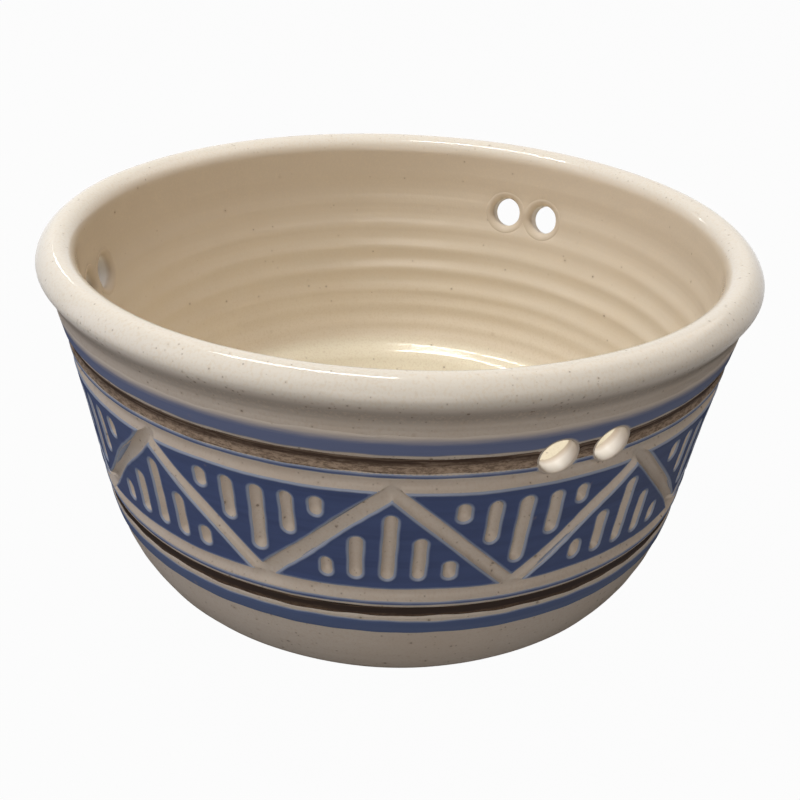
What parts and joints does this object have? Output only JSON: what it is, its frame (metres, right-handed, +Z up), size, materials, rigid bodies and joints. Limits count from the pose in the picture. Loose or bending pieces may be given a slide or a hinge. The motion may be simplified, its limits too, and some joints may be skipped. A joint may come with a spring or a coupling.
{
  "type": "hanging fruit bowl",
  "caption": "Round stoneware bowl with a rolled rim, painted bands, a carved blue slip frieze and pairs of cord holes for hanging it.",
  "frame": {"origin": "centre of the foot, on the surface that the bowl stands on", "axes": "+Z up along the axis of the bowl, -Y towards the front of the picture, +X to its right"},
  "size_m": [0.2, 0.2, 0.103],
  "materials": {
    "stoneware": "clear glazed buff stoneware with iron specks",
    "liner_glaze": "glossy cream glaze with iron specks",
    "blue_slip": "blue slip under clear glaze",
    "iron_oxide": "brushed iron oxide under clear glaze"
  },
  "bodies": {
    "root": {"stoneware_body": "stoneware", "liner_glaze": "liner_glaze", "upper_blue_band": "blue_slip", "upper_iron_band": "iron_oxide", "frieze_top_line": "blue_slip", "frieze_field_1": "blue_slip", "frieze_field_2": "blue_slip", "frieze_field_3": "blue_slip", "frieze_field_4": "blue_slip", "frieze_field_5": "blue_slip", "frieze_field_6": "blue_slip", "frieze_field_7": "blue_slip", "frieze_field_8": "blue_slip", "frieze_field_9": "blue_slip", "frieze_field_10": "blue_slip", "frieze_field_11": "blue_slip", "frieze_field_12": "blue_slip", "frieze_field_13": "blue_slip", "frieze_field_14": "blue_slip", "frieze_field_15": "blue_slip", "frieze_field_16": "blue_slip", "frieze_field_17": "blue_slip", "frieze_field_18": "blue_slip", "frieze_bottom_line": "blue_slip", "lower_iron_band": "iron_oxide", "lower_blue_band": "blue_slip"}
  },
  "joints": []
}
